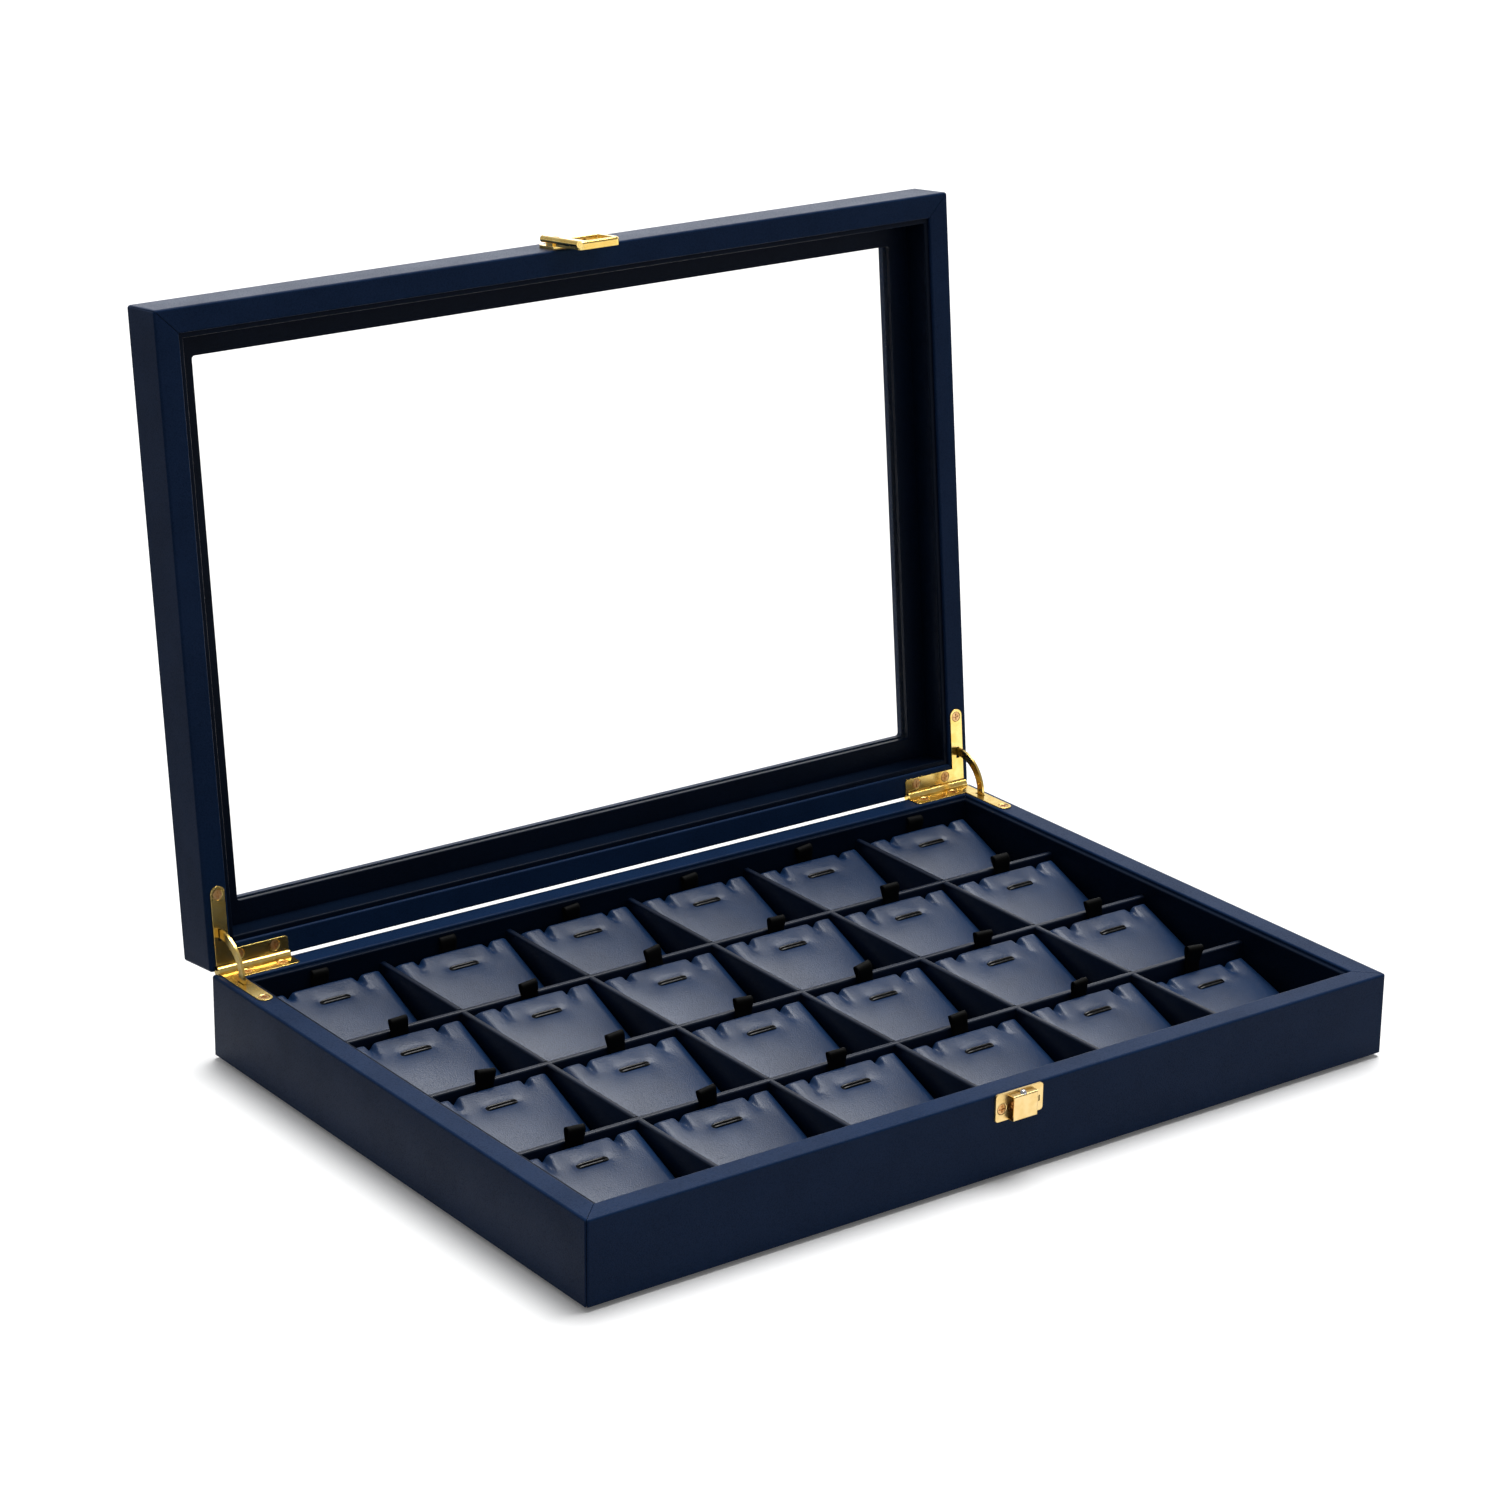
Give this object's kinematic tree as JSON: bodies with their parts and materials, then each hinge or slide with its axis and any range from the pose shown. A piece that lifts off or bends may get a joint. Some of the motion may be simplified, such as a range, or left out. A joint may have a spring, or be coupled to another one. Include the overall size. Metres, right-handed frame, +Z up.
{
  "type": "jewelry display case",
  "caption": "Leather-wrapped display case with sloped jewelry pads in a divided tray under a hinged glass-topped lid with a catch.",
  "frame": {"origin": "centre of the base's underside, on the surface that the case stands on", "axes": "+X to the right seen from the front, along the case's width; +Y to the back, where the hinges are; +Z up"},
  "size_m": [0.35, 0.2881, 0.2767],
  "materials": {
    "case_leather": "navy leatherette with a fine pebble grain, satin",
    "pad_leather": "navy leatherette with a pebble grain over soft filling, satin",
    "lining_leather": "dark navy smooth leatherette, matte",
    "felt": "short black felt",
    "gold_brass": "gold plated, polished",
    "screw_brass": "gold plated, bright",
    "ball_steel": "polished",
    "glass": "clear float glass",
    "cross_bar": "black glossy cord",
    "ribbon": "black satin ribbon"
  },
  "bodies": {
    "base": {"base_felt": "felt", "base_front_wall": "case_leather", "base_left_wall": "case_leather", "base_liner": "lining_leather", "base_panel": "lining_leather", "base_rear_wall": "case_leather", "base_right_wall": "case_leather", "base_screws": "screw_brass", "catch_body": "gold_brass", "column_divider_1": "lining_leather", "column_divider_2": "lining_leather", "column_divider_3": "lining_leather", "column_divider_4": "lining_leather", "column_divider_5": "lining_leather", "hinge_pins": "gold_brass", "left_hinge_base_leaf": "gold_brass", "right_hinge_base_leaf": "gold_brass", "row_divider_front": "lining_leather", "row_divider_middle": "lining_leather", "row_divider_rear": "lining_leather"},
    "lid": {"left_hinge_lid_leaf": "gold_brass", "lid_front_wall": "case_leather", "lid_glass": "glass", "lid_left_wall": "case_leather", "lid_liner": "lining_leather", "lid_rear_wall": "case_leather", "lid_right_wall": "case_leather", "lid_screws": "screw_brass", "lid_top_panel": "case_leather", "right_hinge_lid_leaf": "gold_brass", "hasp_plate": "gold_brass", "hasp_pin": "gold_brass"},
    "left_stay": {"left_hinge_stay": "gold_brass"},
    "right_stay": {"right_hinge_stay": "gold_brass"},
    "hasp_loop": {"hasp_loop": "gold_brass"},
    "catch_ball": {"catch_ball": "ball_steel"},
    "pad_r1c1": {"pad_r1c1": "pad_leather"},
    "pad_r1c2": {"pad_r1c2": "pad_leather"},
    "pad_r1c3": {"pad_r1c3": "pad_leather"},
    "pad_r1c4": {"pad_r1c4": "pad_leather"},
    "pad_r1c5": {"pad_r1c5": "pad_leather"},
    "pad_r1c6": {"pad_r1c6": "pad_leather"},
    "pad_r2c1": {"pad_r2c1": "pad_leather"},
    "pad_r2c2": {"pad_r2c2": "pad_leather"},
    "pad_r2c3": {"pad_r2c3": "pad_leather"},
    "pad_r2c4": {"pad_r2c4": "pad_leather"},
    "pad_r2c5": {"pad_r2c5": "pad_leather"},
    "pad_r2c6": {"pad_r2c6": "pad_leather"},
    "pad_r3c1": {"pad_r3c1": "pad_leather"},
    "pad_r3c2": {"pad_r3c2": "pad_leather"},
    "pad_r3c3": {"pad_r3c3": "pad_leather"},
    "pad_r3c4": {"pad_r3c4": "pad_leather"},
    "pad_r3c5": {"pad_r3c5": "pad_leather"},
    "pad_r3c6": {"pad_r3c6": "pad_leather"},
    "pad_r4c1": {"pad_r4c1": "pad_leather"},
    "pad_r4c2": {"pad_r4c2": "pad_leather"},
    "pad_r4c3": {"pad_r4c3": "pad_leather"},
    "pad_r4c4": {"pad_r4c4": "pad_leather"},
    "pad_r4c5": {"pad_r4c5": "pad_leather"},
    "pad_r4c6": {"pad_r4c6": "pad_leather"}
  },
  "joints": [
    {"name": "lid_hinge", "type": "hinge", "parent": "base", "child": "lid", "pos_m": [0, 0.12, 0.032], "axis": [-1, 0, 0], "range_deg": [-95.8, 0]},
    {"name": "left_stay_turn", "type": "hinge", "parent": "base", "child": "left_stay", "pos_m": [-0.17, 0.12, 0.032], "axis": [-1, 0, 0], "range_deg": [-47.9, 0]},
    {"name": "right_stay_turn", "type": "hinge", "parent": "base", "child": "right_stay", "pos_m": [0.17, 0.12, 0.032], "axis": [-1, 0, 0], "range_deg": [-47.9, 0]},
    {"name": "hasp_swing", "type": "hinge", "parent": "lid", "child": "hasp_loop", "pos_m": [-0.0075, 0.14508, 0.274], "axis": [0, -0.9949, 0.1011], "range_deg": [0, 150]},
    {"name": "ball_press", "type": "slide", "parent": "base", "child": "catch_ball", "axis": [0, 0, 1], "range_m": [-0.001, 0], "stiffness_N_per_m": 300},
    {"name": "lift_r1c1", "type": "slide", "parent": "base", "child": "pad_r1c1", "axis": [0, 0, 1], "range_m": [0, 0.04]},
    {"name": "lift_r1c2", "type": "slide", "parent": "base", "child": "pad_r1c2", "axis": [0, 0, 1], "range_m": [0, 0.04]},
    {"name": "lift_r1c3", "type": "slide", "parent": "base", "child": "pad_r1c3", "axis": [0, 0, 1], "range_m": [0, 0.04]},
    {"name": "lift_r1c4", "type": "slide", "parent": "base", "child": "pad_r1c4", "axis": [0, 0, 1], "range_m": [0, 0.04]},
    {"name": "lift_r1c5", "type": "slide", "parent": "base", "child": "pad_r1c5", "axis": [0, 0, 1], "range_m": [0, 0.04]},
    {"name": "lift_r1c6", "type": "slide", "parent": "base", "child": "pad_r1c6", "axis": [0, 0, 1], "range_m": [0, 0.04]},
    {"name": "lift_r2c1", "type": "slide", "parent": "base", "child": "pad_r2c1", "axis": [0, 0, 1], "range_m": [0, 0.04]},
    {"name": "lift_r2c2", "type": "slide", "parent": "base", "child": "pad_r2c2", "axis": [0, 0, 1], "range_m": [0, 0.04]},
    {"name": "lift_r2c3", "type": "slide", "parent": "base", "child": "pad_r2c3", "axis": [0, 0, 1], "range_m": [0, 0.04]},
    {"name": "lift_r2c4", "type": "slide", "parent": "base", "child": "pad_r2c4", "axis": [0, 0, 1], "range_m": [0, 0.04]},
    {"name": "lift_r2c5", "type": "slide", "parent": "base", "child": "pad_r2c5", "axis": [0, 0, 1], "range_m": [0, 0.04]},
    {"name": "lift_r2c6", "type": "slide", "parent": "base", "child": "pad_r2c6", "axis": [0, 0, 1], "range_m": [0, 0.04]},
    {"name": "lift_r3c1", "type": "slide", "parent": "base", "child": "pad_r3c1", "axis": [0, 0, 1], "range_m": [0, 0.04]},
    {"name": "lift_r3c2", "type": "slide", "parent": "base", "child": "pad_r3c2", "axis": [0, 0, 1], "range_m": [0, 0.04]},
    {"name": "lift_r3c3", "type": "slide", "parent": "base", "child": "pad_r3c3", "axis": [0, 0, 1], "range_m": [0, 0.04]},
    {"name": "lift_r3c4", "type": "slide", "parent": "base", "child": "pad_r3c4", "axis": [0, 0, 1], "range_m": [0, 0.04]},
    {"name": "lift_r3c5", "type": "slide", "parent": "base", "child": "pad_r3c5", "axis": [0, 0, 1], "range_m": [0, 0.04]},
    {"name": "lift_r3c6", "type": "slide", "parent": "base", "child": "pad_r3c6", "axis": [0, 0, 1], "range_m": [0, 0.04]},
    {"name": "lift_r4c1", "type": "slide", "parent": "base", "child": "pad_r4c1", "axis": [0, 0, 1], "range_m": [0, 0.04]},
    {"name": "lift_r4c2", "type": "slide", "parent": "base", "child": "pad_r4c2", "axis": [0, 0, 1], "range_m": [0, 0.04]},
    {"name": "lift_r4c3", "type": "slide", "parent": "base", "child": "pad_r4c3", "axis": [0, 0, 1], "range_m": [0, 0.04]},
    {"name": "lift_r4c4", "type": "slide", "parent": "base", "child": "pad_r4c4", "axis": [0, 0, 1], "range_m": [0, 0.04]},
    {"name": "lift_r4c5", "type": "slide", "parent": "base", "child": "pad_r4c5", "axis": [0, 0, 1], "range_m": [0, 0.04]},
    {"name": "lift_r4c6", "type": "slide", "parent": "base", "child": "pad_r4c6", "axis": [0, 0, 1], "range_m": [0, 0.04]}
  ],
  "couplings": [
    {"joint": "left_stay_turn", "follows": "lid_hinge", "ratio": 0.5},
    {"joint": "right_stay_turn", "follows": "lid_hinge", "ratio": 0.5}
  ]
}
